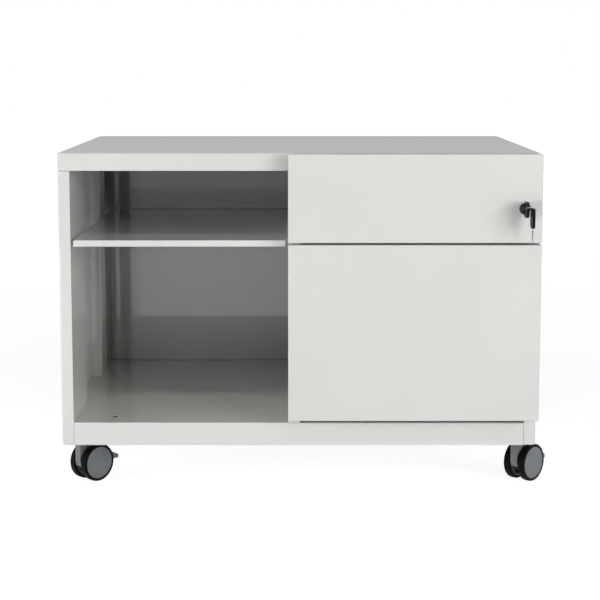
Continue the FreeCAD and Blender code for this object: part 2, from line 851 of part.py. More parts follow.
def lock_bar():
    """A flat bar in the right edge channel. The cam lifts the ear welded to it, and its hook
    then stands in front of the filing drawer's catch."""
    corners = [
        ("bar_left", "floor_top"), ("bar_right", "floor_top"), ("bar_right", "bar_top"),
        ("bar_left", "bar_top"), ("bar_left", "hook_top"), ("hook_left", "hook_top"),
        ("hook_left", "hook_bottom"), ("bar_left", "hook_bottom"),
    ]
    blade = moved(padded("bar", "XZ_Plane", corners, "bar_thickness", True), "0", "bar_front", "0")
    ear_side = ("bar_left", "bar_left + ear_width")
    ear = join("bar_ear",
               box("ear_tongue", ear_side, ("cam_front - bar_clearance", "bar_front"),
                   ("ear_bottom", "ear_bottom + ear_thickness")),
               box("ear_leg", ear_side, ("bar_front - ear_thickness", "bar_front"),
                   ("ear_bottom", "ear_bottom + ear_height")))
    node("lock_bar", group("lock_bar", [blade, ear]))


# --- castors -----------------------------------------------------------------------------
# Each castor is made about its own stud: X runs to the trailing side, Y along the axle.

castors = {
    "front_left": ("-(castor_side)", "castor_front", "castor_turn"),
    "front_right": ("castor_side", "castor_front", "castor_turn"),
    "rear_left": ("-(castor_side)", "castor_back", "180 - castor_turn"),
    "rear_right": ("castor_side", "castor_back", "castor_turn"),
}


def castor_node(corner, name, item):
    x, y, turn = castors[corner]
    full = f"{corner}_castor_{name}"
    node(full, moved(item, x, y, "0", Rotation(Vector(0, 0, 1), number(turn))))


def castor_studs():
    """Plates on the carcass floor returns, each with the stud that its castor turns on."""
    studs = []
    screws = []
    for corner, (x, y, turn) in castors.items():
        side = -1 if number(x) < 0 else 1
        sign = "-" if side < 0 else ""
        centre = f"{sign}(plate_side)"
        plate = box("stud_plate",
                    (less(centre, "plate_width / 2"), more(centre, "plate_width / 2")),
                    (less(y, "plate_length / 2"), more(y, "plate_length / 2")),
                    ("plate_bottom", "plate_top"))
        stud = rod("stud", x, y, ("stud_bottom", "plate_top"), "stud_radius")
        collar = rod("stud_collar", x, y, ("housing_top + neck_gap", "underside"),
                     "collar_radius")
        holes = []
        for way in "-+":
            at = f"{y} {way} (screw_reach)"
            holes.append(rod("plate_screw_hole", centre, at,
                             ("plate_bottom - 1", "plate_top + 1"),
                             "screw_radius + screw_clearance"))
            screws.append(join("castor_screw",
                               rod("shank", centre, at, ("underside", "plate_top"),
                                   "screw_radius"),
                               rod("head", centre, at,
                                   ("plate_top", "plate_top + screw_head_height"),
                                   "screw_head_radius")))
        studs.append(cut(f"{corner}_stud", join("plate_and_stud", plate, stud, collar), *holes))
    node("castor_studs", group("castor_studs", studs))
    node("castor_screws", group("castor_screws", screws))


def castor_housing(corner):
    """The moulded body between the wheels: a fender about the axle and a neck round the stud."""
    half = "housing_width / 2"
    fender = rod("fender", "trail", both(half), "wheel_radius", "housing_radius")
    web = box("stud_web", ("-(stud_radius + stud_wall)", "trail / 2"), both(half),
              ("wheel_radius", "neck_bottom"))
    neck = rod("neck", "0", "0", ("neck_bottom", "housing_top"), "neck_radius")
    tail = box("pedal_cheeks", ("trail", "pivot_reach + pedal_eye_radius"), both(half),
               ("pedal_pivot_height - pedal_eye_radius", "pedal_pivot_height + pedal_eye_radius"))
    body = join("housing_body", fender, web, neck)
    below = box("below", ("-housing_radius", "trail + 2 * housing_radius"), both("housing_width"),
                ("-1", "housing_bottom"))
    behind = box("behind", ("trail + housing_back", "trail + 2 * housing_radius"),
                 both("housing_width"), ("0", "neck_bottom"))
    body = join("housing_with_cheeks", cut("housing_trimmed", body, below, behind), tail)
    holes = [
        rod("stud_bore", "0", "0", ("stud_bottom - neck_gap", "housing_top + 1"),
            "stud_radius + stud_clearance"),
        rod("axle_bore", "trail", both("housing_width"), "wheel_radius",
            "axle_radius + axle_clearance"),
        box("pedal_slot", ("trail + housing_back", "pivot_reach + 2 * pedal_eye_radius"),
            both("pedal_neck_width / 2 + pedal_slot_clearance"),
            ("housing_bottom - 1", "neck_bottom")),
        rod("pedal_pin_bore", "pivot_reach", both("housing_width"), "pedal_pivot_height",
            "pedal_pin_radius + pedal_slot_clearance"),
    ]
    castor_node(corner, "housing", cut(f"{corner}_housing", body, *holes))
    axle = rod("axle", "trail", both("axle_end"), "wheel_radius", "axle_radius")
    castor_node(corner, "axle", group(f"{corner}_axle", [axle]))


def castor_wheel(corner, side, sign):
    """A moulded rim with a flat outer face, and the tyre on it."""
    def across(start, end):
        return tuple(sorted((f"{sign}({start})", f"{sign}({end})"), key=number))

    disc = rod("rim_disc", "trail", across("wheel_inside", "rim_outside"), "wheel_radius",
               "rim_radius")
    hollow = rod("rim_hollow", "trail", across("wheel_inside - 1", "rim_outside - rim_web"),
                 "wheel_radius", "rim_radius - rim_wall")
    hub = rod("rim_hub", "trail", across("wheel_inside", "rim_outside - rim_web / 2"),
              "wheel_radius", "hub_radius")
    bore = rod("rim_bore", "trail", across("wheel_inside - 1", "axle_end + axle_clearance"),
               "wheel_radius", "axle_radius + axle_clearance")
    rim = cut("rim_bored", join("rim_with_hub", cut("rim_shell", disc, hollow), hub), bore)
    castor_node(corner, f"{side}_rim", rim)

    outer = rod("tyre_outside", "trail", across("wheel_inside", "wheel_outside"),
                "wheel_radius", "wheel_radius")
    inner = rod("tyre_inside", "trail", across("wheel_inside - 1", "wheel_outside + 1"),
                "wheel_radius", "rim_radius")

    def shoulders(middle, bounds, edge):
        return hasattr(edge.Curve, "Radius")
    round_tyre = rounded("tyre_shoulders", outer, sizes["tyre_radius"], shoulders)
    castor_node(corner, f"{side}_tyre", cut("tyre", round_tyre, inner))


def brake_pedal(corner):
    """The lever on the trailing side: an eye in the housing's fork, a neck and a wide pedal."""
    eye = rod("pedal_eye", "pivot_reach", both("pedal_neck_width / 2"), "pedal_pivot_height",
              "pedal_eye_radius - pedal_slot_clearance")
    pin = rod("pedal_pin", "pivot_reach", both("housing_width / 2"), "pedal_pivot_height",
              "pedal_pin_radius")
    neck = box("pedal_neck", ("pivot_reach", "trail + pedal_start"),
               both("pedal_neck_width / 2"), ("pedal_neck_bottom", "pedal_top"))
    side_view = [
        ("trail + pedal_start", "pedal_bottom"), ("trail + pedal_end", "pedal_tip_bottom"),
        ("trail + pedal_end", "pedal_tip_top"), ("trail + pedal_start", "pedal_top"),
    ]
    plan = [
        ("trail + pedal_start", "-pedal_width / 2"),
        ("trail + pedal_end", "-pedal_tip_width / 2"),
        ("trail + pedal_end", "pedal_tip_width / 2"),
        ("trail + pedal_start", "pedal_width / 2"),
    ]
    wedge = moved(padded("pedal_wedge", "XZ_Plane", side_view, "pedal_width", True),
                  "0", "-pedal_width / 2", "0")
    taper = padded("pedal_taper", "XY_Plane", plan, "pedal_top")
    tread = doc.addObject("Part::Common", "pedal_tread")
    tread.Base = wedge
    tread.Tool = taper
    castor_node(corner, "brake_pedal", join(f"{corner}_pedal", eye, pin, neck, tread))


# --- build -------------------------------------------------------------------------------

top_panel()
side_panel("left_side_panel", -1)
side_panel("right_side_panel", 1)
base_pan()
back_panel()
divider_panel()
bay_uprights()
drawer_uprights()
shelf()
shelf_clips()
counterweight()

drawers = {
    "top": ("top_front_bottom", "front_top"),
    "filing": ("filing_front_bottom", "filing_front_top"),
}
for drawer, (low, high) in drawers.items():
    drawer_front(f"{drawer}_drawer_front", low, high)
    drawer_liner(f"{drawer}_drawer_liner", low, high)
    drawer_tray(f"{drawer}_drawer_tray", f"{drawer}_tray_bottom", f"{drawer}_tray_top")
    runner_members(drawer, f"{drawer}_runner_centre")
hanging_rails()

lock_housing()
lock_plug()
lock_cam()
keys()
lock_bar()

castor_studs()
for corner in castors:
    castor_housing(corner)
    castor_wheel(corner, "left", "")
    castor_wheel(corner, "right", "-")
    if corner.startswith("front"):
        brake_pedal(corner)

doc.recompute()

faults = [item.Name for item in doc.Objects if {"Invalid", "Error"} & set(item.State)]
if faults:
    raise RuntimeError("these objects failed: " + ", ".join(faults))
for item in nodes:
    if item.Shape.isNull() or not item.Shape.isValid() or not item.Shape.Solids:
        raise RuntimeError("bad shape: " + item.Label)

os.makedirs("parts", exist_ok=True)
for item in nodes:
    item.Shape.exportStep(f"parts/{item.Label}.step")
    print(item.Label, len(item.Shape.Solids), round(item.Shape.Volume))
print(len(nodes), "pieces")
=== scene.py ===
import json
import math

import bmesh
import bpy
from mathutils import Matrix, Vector


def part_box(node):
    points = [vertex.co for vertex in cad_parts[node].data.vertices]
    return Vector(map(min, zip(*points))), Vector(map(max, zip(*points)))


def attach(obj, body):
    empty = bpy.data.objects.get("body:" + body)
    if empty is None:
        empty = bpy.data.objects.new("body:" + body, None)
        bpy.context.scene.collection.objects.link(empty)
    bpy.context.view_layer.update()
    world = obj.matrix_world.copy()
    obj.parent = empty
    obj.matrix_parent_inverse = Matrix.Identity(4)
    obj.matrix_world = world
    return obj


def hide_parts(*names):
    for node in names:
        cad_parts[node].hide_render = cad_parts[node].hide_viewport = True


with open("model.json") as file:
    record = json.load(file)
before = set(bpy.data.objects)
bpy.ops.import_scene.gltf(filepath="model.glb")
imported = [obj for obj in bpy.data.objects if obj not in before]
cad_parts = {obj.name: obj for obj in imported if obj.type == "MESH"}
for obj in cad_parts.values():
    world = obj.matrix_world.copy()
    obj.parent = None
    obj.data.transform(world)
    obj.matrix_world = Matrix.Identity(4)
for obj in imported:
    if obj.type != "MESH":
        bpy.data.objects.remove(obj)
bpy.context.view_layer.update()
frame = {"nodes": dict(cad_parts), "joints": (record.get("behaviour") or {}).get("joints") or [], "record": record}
scene = bpy.context.scene
mm = 0.001
print("frame loaded:", len(frame["nodes"]), "nodes")

noiseSpan = (0.3, 0.7)  # the part of 0 to 1 that a noise seldom leaves


class Wire:  # a node's socket that can stand in a sum
    def __init__(self, graph, socket):
        self.graph = graph
        self.socket = socket

    def maths(self, operation, *values):
        return self.graph.make("ShaderNodeMath", {"operation": operation}, values)

    def __add__(self, other):
        return self.maths("ADD", self, other)

    def __sub__(self, other):
        return self.maths("SUBTRACT", self, other)

    def __rsub__(self, other):
        return self.maths("SUBTRACT", other, self)

    def __mul__(self, other):
        return self.maths("MULTIPLY", self, other)

    def atMost(self, limit):
        return self.maths("MINIMUM", self, limit)

    __radd__ = __add__
    __rmul__ = __mul__


class Graph:  # makes and links the nodes of one tree
    def __init__(self, tree):
        self.tree = tree
        tree.nodes.clear()

    def make(self, kind, settings=None, values=(), output=0):
        node = self.tree.nodes.new(kind)
        for key, value in (settings or {}).items():
            setattr(node, key, value)
        pairs = values.items() if isinstance(values, dict) else enumerate(values)
        for key, value in pairs:
            if isinstance(value, Wire):
                self.tree.links.new(value.socket, node.inputs[key])
            else:
                node.inputs[key].default_value = value
        return Wire(self, node.outputs[output]) if len(node.outputs) else node

    def noise(self, place, scale, detail):
        return self.make("ShaderNodeTexNoise", None,
                         {"Vector": place, "Scale": scale, "Detail": detail})

    def drawnNoise(self, place, scales, detail):  # longest along the axis with the least scale
        drawn = self.make("ShaderNodeMapping", None, {"Vector": place, "Scale": scales})
        return self.noise(drawn, 1.0, detail)

    def between(self, value, low, high, toLow=0.0, toHigh=1.0):
        return self.make("ShaderNodeMapRange", None, [value, low, high, toLow, toHigh])

    def spread(self, noise, toLow=0.0, toHigh=1.0):
        return self.between(noise, *noiseSpan, toLow, toHigh)

    def blend(self, share, first, second):
        return self.make("ShaderNodeMix", {"data_type": "RGBA"},
                         {0: share, 6: first, 7: second}, 2)

    def tones(self, share, colour, dark, light):
        return self.blend(share, shade(colour, dark), shade(colour, light))

    def bump(self, height, strength, distance):
        return self.make("ShaderNodeBump", None,
                         {"Height": height, "Strength": strength, "Distance": distance})


def shade(colour, factor=1.0):
    return tuple(part * factor for part in colour) + (1.0,)


def makeFinish(name, fixed, vary):  # vary gives the sockets that change over a surface
    material = bpy.data.materials.new(name)
    material.use_nodes = True
    graph = Graph(material.node_tree)
    place = graph.make("ShaderNodeTexCoord", output="Object")
    shader = graph.make("ShaderNodeBsdfPrincipled", None, {**fixed, **vary(graph, place)})
    graph.make("ShaderNodeOutputMaterial", None, {"Surface": shader})
    return material


powder = {
    "colour": (0.640, 0.638, 0.622),
    "cloudScale": 5.0,       # slow drift of tone over a sheet
    "cloudShare": 0.8,       # the rest of the tone is fleck
    "cloudSpan": (0.35, 0.65),
    "cloudTones": (0.982, 1.018),
    "fleckScale": 1400.0,
    "peelScale": 520.0,      # orange peel, about 2 mm from crest to crest
    "peelStrength": 0.5,
    "peelHeight": 0.02 * mm,
    "roughness": (0.47, 0.53),
}


def powderCoat(graph, place):
    cloud = graph.noise(place, powder["cloudScale"], 3.0)
    fleck = graph.noise(place, powder["fleckScale"], 1.0)
    peel = graph.noise(place, powder["peelScale"], 1.0)
    share = powder["cloudShare"]
    tone = graph.between(cloud * share + fleck * (1 - share), *powder["cloudSpan"])
    return {
        "Base Color": graph.tones(tone, powder["colour"], *powder["cloudTones"]),
        "Roughness": graph.spread(fleck, *powder["roughness"]),
        "Normal": graph.bump(peel, powder["peelStrength"], powder["peelHeight"]),
    }


zinc = {
    "bright": (0.62, 0.63, 0.64), "dull": (0.44, 0.45, 0.47),
    "stainScale": 60.0, "stainSpan": (0.35, 0.7),
    "streaks": (900, 12, 900),
    "streakStrength": 0.2, "streakHeight": 0.01 * mm,
    "roughness": (0.24, 0.42),
}


def zincPlate(graph, place):
    streak = graph.drawnNoise(place, zinc["streaks"], 2.0)
    stain = graph.noise(place, zinc["stainScale"], 4.0)
    return {
        "Base Color": graph.blend(graph.between(stain, *zinc["stainSpan"]),
                                  shade(zinc["bright"]), shade(zinc["dull"])),
        "Roughness": graph.spread(streak * 0.5 + stain * 0.5, *zinc["roughness"]),
        "Normal": graph.bump(streak, zinc["streakStrength"], zinc["streakHeight"]),
    }


plating = {
    "hazeScale": 400.0, "hazeTones": (0.92, 1.05),
    "hazeShare": 0.6,        # the rest of the roughness is scratches
    "scratches": (4000, 300, 300),
    "scratchStrength": 0.15, "scratchHeight": 0.008 * mm,
}
nickel = {"colour": (0.46, 0.45, 0.43), "roughness": (0.12, 0.26)}
# painted reflection: the lock bezel's plating gets a near-black colour that stands in for the dark surroundings a
# bright nickel bezel reflects
nickelDarkenedForPaintedReflection = {"colour": (0.085, 0.085, 0.09), "roughness": (0.11, 0.25)}


def plated(metal):
    def vary(graph, place):
        haze = graph.noise(place, plating["hazeScale"], 3.0)
        scratch = graph.drawnNoise(place, plating["scratches"], 1.0)
        share = plating["hazeShare"]
        return {
            "Base Color": graph.tones(haze, metal["colour"], *plating["hazeTones"]),
            "Roughness": graph.spread(haze * share + scratch * (1 - share),
                                      *metal["roughness"]),
            "Normal": graph.bump(scratch, plating["scratchStrength"], plating["scratchHeight"]),
        }
    return vary


primer = {
    "colour": (0.045, 0.045, 0.048),
    "patchScale": 14.0, "patchSpan": (0.35, 0.65), "patchTones": (0.8, 1.5),
    "gritScale": 700.0, "gritStrength": 0.4, "gritHeight": 0.06 * mm,
    "roughness": (0.5, 0.68),
}


def primedSteel(graph, place):
    grit = graph.noise(place, primer["gritScale"], 3.0)
    patch = graph.between(graph.noise(place, primer["patchScale"], 3.0), *primer["patchSpan"])
    return {
        "Base Color": graph.tones(patch, primer["colour"], *primer["patchTones"]),
        "Roughness": graph.spread(grit, *primer["roughness"]),
        "Normal": graph.bump(grit, primer["gritStrength"], primer["gritHeight"]),
    }


moulding = {"flowScale": 35.0, "flowTones": (0.93, 1.07),
            "grainStrength": 0.3, "grainHeight": 0.03 * mm}
keyPlastic = {"colour": (0.004, 0.004, 0.0044), "grainScale": 1200.0, "roughness": (0.35, 0.46)}
castorNylon = {"colour": (0.152, 0.166, 0.176), "grainScale": 900.0, "roughness": (0.41, 0.52)}


def moulded(plastic):
    def vary(graph, place):
        grain = graph.noise(place, plastic["grainScale"], 2.0)
        flow = graph.spread(graph.noise(place, moulding["flowScale"], 2.0))
        return {
            "Base Color": graph.tones(flow, plastic["colour"], *moulding["flowTones"]),
            "Roughness": graph.spread(grain, *plastic["roughness"]),
            "Normal": graph.bump(grain, moulding["grainStrength"], moulding["grainHeight"]),
        }
    return vary


tread = {
    "colour": (0.003, 0.003, 0.0034), "dust": (0.009, 0.009, 0.0088),
    "dustScale": 90.0, "dustSpan": (0.55, 0.8),
    "grainScale": 1500.0, "grainStrength": 0.3, "grainHeight": 0.03 * mm,
    "roughness": (0.42, 0.6),
}


def wheelTread(graph, place):
    grain = graph.noise(place, tread["grainScale"], 2.0)
    dust = graph.noise(place, tread["dustScale"], 4.0)
    return {
        "Base Color": graph.blend(graph.between(dust, *tread["dustSpan"]),
                                  shade(tread["colour"]), shade(tread["dust"])),
        "Roughness": graph.spread(dust, *tread["roughness"]),
        "Normal": graph.bump(grain, tread["grainStrength"], tread["grainHeight"]),
    }


finishes = {  # by slot, and two more that some pieces of a slot take
    "coated_steel": makeFinish("powderCoat", {"Coat Weight": 0.22, "Coat Roughness": 0.08},
                               powderCoat),
    "bayCoat": makeFinish("bayCoat", {"Coat Weight": 1.0, "Coat Roughness": 0.03,
                                      "Coat IOR": 1.9}, powderCoat),
    "bright_steel": makeFinish("zincPlate", {"Metallic": 1.0}, zincPlate),
    "bare_weight": makeFinish("primedSteel", {}, primedSteel),
    "lock_metal": makeFinish("nickelPlate", {"Metallic": 1.0}, plated(nickel)),
    # painted reflection: the near-black plating of the lock bezel
    "lockFace": makeFinish("darkPlate", {"Metallic": 1.0}, plated(nickelDarkenedForPaintedReflection)),
    "key_black": makeFinish("keyPlastic", {"Specular IOR Level": 0.12}, moulded(keyPlastic)),
    "castor_grey": makeFinish("castorNylon", {}, moulded(castorNylon)),
    "castor_steel": makeFinish("castorZinc", {"Metallic": 1.0}, zincPlate),
    "castor_tread": makeFinish("castorTread", {"Specular IOR Level": 0.08}, wheelTread),
}
slotOfNode = {part["node"]: part["material_slot"] for part in frame["record"]["subparts"]}
for name, item in frame["nodes"].items():  # every CAD node takes its slot's finish
    item.data.materials.clear()
    item.data.materials.append(finishes[slotOfNode[name]])
print("finishes made:", len(finishes))


def bevel(width, segments, degrees):
    return ("BEVEL", {"width": width, "segments": segments, "limit_method": "ANGLE",
                      "angle_limit": math.radians(degrees)})


def evenShading(weight=80):
    return ("WEIGHTED_NORMAL", {"keep_sharp": True, "weight": weight})


def softEdges(width, segments, degrees=40):
    return [bevel(width, segments, degrees), evenShading()]


def finishPiece(name, shape, body, slot, stands=(), modifiers=(), finish=None):
    if isinstance(shape, bmesh.types.BMesh):
        mesh = bpy.data.meshes.new(name)
        shape.to_mesh(mesh)
        shape.free()
    else:
        mesh = shape
        mesh.name = name
    for face in mesh.polygons:
        face.use_smooth = True
    piece = bpy.data.objects.new(name, mesh)
    scene.collection.objects.link(piece)
    mesh.materials.clear()
    mesh.materials.append(finishes[finish or slot])
    for kind, settings in modifiers:
        modifier = piece.modifiers.new(kind.title().replace("_", ""), kind)
        for key, value in settings.items():
            setattr(modifier, key, value)
    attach(piece, body)
    if stands:
        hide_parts(*stands)


def turns(steps):  # angles evenly round a circle
    return [2 * math.pi * step / steps for step in range(steps)]


def pick(items, kind):
    return [item for item in items if isinstance(item, kind)]


def loopEdges(bm, loops):
    return [bm.edges.new(pair) for loop in loops for pair in zip(loop, loop[1:] + loop[:1])]


def wall(low, high, axis, sign):  # one side of a box, wound to face outwards
    u, v = (axis + 1) % 3, (axis + 2) % 3
    points = []
    for a, b in ((0, 0), (1, 0), (1, 1), (0, 1)):
        point = [0.0, 0.0, 0.0]
        point[axis] = (high if sign > 0 else low)[axis]
        point[u] = (low, high)[a][u]
        point[v] = (low, high)[b][v]
        points.append(Vector(point))
    return points if sign > 0 else points[::-1]


def boxWalls(low, high, mouth=None):  # mouth is the axis number and sign of an open side
    return [(wall(low, high, axis, sign), ()) for axis in range(3) for sign in (-1, 1)
            if (axis, sign) != mouth]


def outlineNormal(points):
    total = Vector()
    for a, b in zip(points, points[1:] + points[:1]):
        total += a.cross(b)
    return total.normalized()


def sheetMesh(panels):  # flat panels, some with round holes, joined at shared edges
    bm = bmesh.new()
    for outline, holes in panels:
        corners = [bm.verts.new(point) for point in outline]
        if not holes:
            bm.faces.new(corners)
            continue
        facing = outlineNormal(outline)
        across = (outline[1] - outline[0]).normalized()
        up = facing.cross(across)
        loops = [corners]
        for centre, radius in holes:
            loops.append([
                bm.verts.new(centre + (across * math.cos(turn) + up * math.sin(turn)) * radius)
                for turn in turns(sheetSteel["holeSteps"])
            ])
        made = bmesh.ops.triangle_fill(bm, edges=loopEdges(bm, loops), use_beauty=True,
                                       normal=facing)
        for face in pick(made["geom"], bmesh.types.BMFace):
            face.normal_update()
            if face.normal.dot(facing) < 0:
                face.normal_flip()
    bmesh.ops.remove_doubles(bm, verts=bm.verts, dist=0.01 * mm)
    bm.normal_update()
    return bm


sheetSteel = {
    "thickness": 1.2 * mm,
    "bendSteps": 5,
    "bendsFrom": 40,         # folds sharper than this, in degrees, get a bend radius
    "edge": 0.25 * mm,
    "edgesFrom": 60,
    "holeSteps": 28,
}
sheet = sheetSteel["thickness"]


def foldedSheet(name, panels, bend, body, node, finish="bayCoat"):
    finishPiece(name, sheetMesh(panels), body, "coated_steel", [node], [
        bevel(bend, sheetSteel["bendSteps"], sheetSteel["bendsFrom"]),
        ("SOLIDIFY", {"thickness": sheet, "offset": -1.0, "use_even_offset": True}),
        bevel(sheetSteel["edge"], 2, sheetSteel["edgesFrom"]),
        evenShading(),
    ], finish)


def metres(corners):  # from mm, each corner as rounded takes it
    return [(*(Vector((x, y)) * mm), size * mm) for x, y, size in corners]


def rounded(corners, steps=5, most=0.49):  # a closed flat outline of (x, y, how round) corners
    places = [Vector(corner[:2]) for corner in corners]
    result = []
    for index, place in enumerate(places):
        size = corners[index][2]
        before = places[index - 1] - place
        after = places[(index + 1) % len(places)] - place
        opening = before.angle(after)
        if size <= 0 or opening > math.radians(178):
            result.append(place)
            continue
        reach = min(size / math.tan(opening / 2), most * before.length, most * after.length)
        size = reach * math.tan(opening / 2)
        centre = place + (before.normalized() + after.normalized()).normalized() * (
            size / math.sin(opening / 2))
        start = place + before.normalized() * reach - centre
        end = place + after.normalized() * reach - centre
        for step in range(steps + 1):
            result.append(centre + start.slerp(end, step / steps).normalized() * size
                          if start.angle(end) > 1e-4 else place)
    return result


def slab(outline, bottom, top, place, holes=()):  # a flat outline made thick; place gives a point
    bm = bmesh.new()
    loops = [[bm.verts.new(place(u, v, bottom)) for u, v in loop] for loop in (outline, *holes)]
    edges = loopEdges(bm, loops)
    made = bmesh.ops.triangle_fill(bm, edges=edges, use_beauty=True)
    faces = pick(made["geom"], bmesh.types.BMFace)
    bmesh.ops.recalc_face_normals(bm, faces=faces)
    lifted = bmesh.ops.extrude_face_region(bm, geom=faces + edges)
    bmesh.ops.translate(bm, vec=place(0, 0, top) - place(0, 0, bottom),
                        verts=pick(lifted["geom"], bmesh.types.BMVert))
    bmesh.ops.recalc_face_normals(bm, faces=bm.faces)
    return bm


def turned(profile, centre, axis, steps):  # closed profile of (along, radius) about an axis
    bm = bmesh.new()
    axis = axis.normalized()
    side = axis.orthogonal().normalized()
    other = axis.cross(side)
    rings = []
    for along, radius in profile:
        middle = centre + axis * along
        if radius < 0.0001 * mm:  # on the axis
            rings.append([bm.verts.new(middle)])
            continue
        rings.append([
            bm.verts.new(middle + (side * math.cos(turn) + other * math.sin(turn)) * radius)
            for turn in turns(steps)
        ])
    for first, second in zip(rings, rings[1:] + rings[:1]):
        for step in range(steps):
            after = (step + 1) % steps
            corners = []
            for ring, index in ((first, step), (first, after), (second, after), (second, step)):
                vert = ring[index % len(ring)]
                if vert not in corners:
                    corners.append(vert)
            if len(corners) > 2:
                bm.faces.new(corners)
    bmesh.ops.recalc_face_normals(bm, faces=bm.faces)
    return bm


def joined(*shapes):  # several meshes in one
    whole = bmesh.new()
    for shape in shapes:
        spare = bpy.data.meshes.new("spare")
        shape.to_mesh(spare)
        shape.free()
        whole.from_mesh(spare)
        bpy.data.meshes.remove(spare)
    return whole


def scatterTree(name, sizes, build):  # a tree that sets one shape on each of many places
    tree = bpy.data.node_groups.new(name, "GeometryNodeTree")
    graph = Graph(tree)
    side = tree.interface
    side.new_socket("Geometry", in_out="INPUT", socket_type="NodeSocketGeometry")
    side.new_socket("Geometry", in_out="OUTPUT", socket_type="NodeSocketGeometry")
    kinds = dict.fromkeys(sizes, "NodeSocketFloat")
    kinds.update({"Facing": "NodeSocketVector", "Finish": "NodeSocketMaterial"})
    for label, kind in kinds.items():
        side.new_socket(label, in_out="INPUT", socket_type=kind)
    entry = tree.nodes.new("NodeGroupInput")
    wires = {socket.name: Wire(graph, socket) for socket in entry.outputs if socket.name}
    turn = graph.make("FunctionNodeAlignRotationToVector", {"axis": "Z"},
                      {"Vector": wires["Facing"]})
    copies = graph.make("GeometryNodeInstanceOnPoints", None,
                        {"Points": wires["Geometry"], "Instance": build(graph, wires),
                         "Rotation": turn})
    real = graph.make("GeometryNodeRealizeInstances", None, {"Geometry": copies})
    dressed = graph.make("GeometryNodeSetMaterial", None,
                         {"Geometry": real, "Material": wires["Finish"]})
    graph.make("NodeGroupOutput", None, [dressed])
    return tree


def scatterPiece(name, tree, places, inputs, body, slot):
    cloud = bmesh.new()
    for place in places:
        cloud.verts.new(place)
    mesh = bpy.data.meshes.new(name + "Places")
    cloud.to_mesh(mesh)
    cloud.free()
    carrier = bpy.data.objects.new(name + "Places", mesh)
    scene.collection.objects.link(carrier)
    modifier = carrier.modifiers.new("Scatter", "NODES")
    modifier.node_group = tree
    sockets = {item.name: item.identifier for item in tree.interface.items_tree
               if item.item_type == "SOCKET" and item.in_out == "INPUT"}
    for label, value in {**inputs, "Finish": finishes[slot]}.items():
        modifier[sockets[label]] = value
    ready = carrier.evaluated_get(bpy.context.evaluated_depsgraph_get())
    shape = bpy.data.meshes.new_from_object(ready)
    carrier.modifiers.remove(modifier)
    bpy.data.objects.remove(carrier)
    bpy.data.meshes.remove(mesh)
    finishPiece(name, shape, body, slot)


def domeHead(graph, wires):  # a round head, flattened along its facing
    ball = graph.make("GeometryNodeMeshUVSphere", None,
                      {"Segments": 20, "Rings": 8, "Radius": wires["Radius"]})
    squash = graph.make("ShaderNodeCombineXYZ", None, [1.0, 1.0, wires["Flatness"]])
    return graph.make("GeometryNodeTransform", None, {"Geometry": ball, "Scale": squash})


# a flat disc, used as painted shade under the floor holes
def paintedShadeDisc(graph, wires):
    return graph.make("GeometryNodeMeshCylinder", None,
                      {"Vertices": 32, "Radius": wires["Radius"], "Depth": wires["Depth"]})


domeTree = scatterTree("domeHeads", ("Radius", "Flatness"), domeHead)
paintedShadeTree = scatterTree("plugDiscs", ("Radius", "Depth"), paintedShadeDisc)


carcass = {
    "bend": 3.5 * mm,
    "tightBend": 1.5 * mm,
    "floorHole": 6.5 * mm,
    "railReturn": 84 * mm,   # the flanges under the front and rear rails
    "seam": 0.45 * mm,       # how far the rails' ends stand from the side flanges
}
topLow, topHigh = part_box("top_panel")
frontPlane, rearPlane = topLow.y, topHigh.y
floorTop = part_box("counterweight")[0].z
floorMount = frame["record"]["mounts"][2]  # the four holes in the bay floor


def panPiece(name, node, mouth, bend, finish="bayCoat"):  # one sheet folded on four sides
    low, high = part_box(node)
    foldedSheet(name, boxWalls(low, high, mouth), carcass[bend], "carcass", node, finish)


def floorHolePlaces(height):
    middle = Vector(floorMount["pos_m"])
    x, y = (floorMount["dims"][size] * mm / 2 for size in ("spacing_x_mm", "spacing_y_mm"))
    return [Vector((middle.x + side * x, middle.y + end * y, height))
            for side in (-1, 1) for end in (-1, 1)]


def basePan():
    low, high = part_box("base_pan")  # low.x is the wide part under the uprights
    holes = [(place, carcass["floorHole"]) for place in floorHolePlaces(floorTop)]
    nearEdge, farEdge = low.y + sheet, high.y - sheet
    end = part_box("back_panel")[1].x - carcass["seam"]
    plan = [(-end, low.y), (end, low.y), (end, nearEdge), (high.x, nearEdge),
            (high.x, farEdge), (end, farEdge), (end, high.y), (-end, high.y),
            (-end, farEdge), (low.x, farEdge), (low.x, nearEdge), (-end, nearEdge)]
    near, far = Vector((-end, low.y, low.z)), Vector((end, high.y, high.z))
    frontReturn = Vector((end, low.y + carcass["railReturn"], high.z))
    rearReturn = Vector((-end, high.y - carcass["railReturn"], low.z))
    panels = [([Vector((x, y, floorTop)) for x, y in plan], holes),
              (wall(near, far, 1, -1), ()), (wall(near, far, 1, 1), ()),
              (wall(near, frontReturn, 2, -1), ()), (wall(rearReturn, far, 2, -1), ())]
    foldedSheet("basePan", panels, carcass["tightBend"], "carcass", "base_pan")


uprights = {
    "frontReach": 168 * mm,  # from the carcass front to the front strip's rear edge
    "rearWidth": 72 * mm,
    "frontPegs": 115.5 * mm,  # from the carcass front
    "rearPegs": 17.5 * mm,   # from the rear strip's rear edge
    "pegHole": 2.1 * mm,
    "pegDrop": 5 * mm,       # from the shelf down to the row in use
    "pegStep": 77 * mm,      # from that row to those under it
    "pegRise": 33.5 * mm,    # from that row to the one above
}


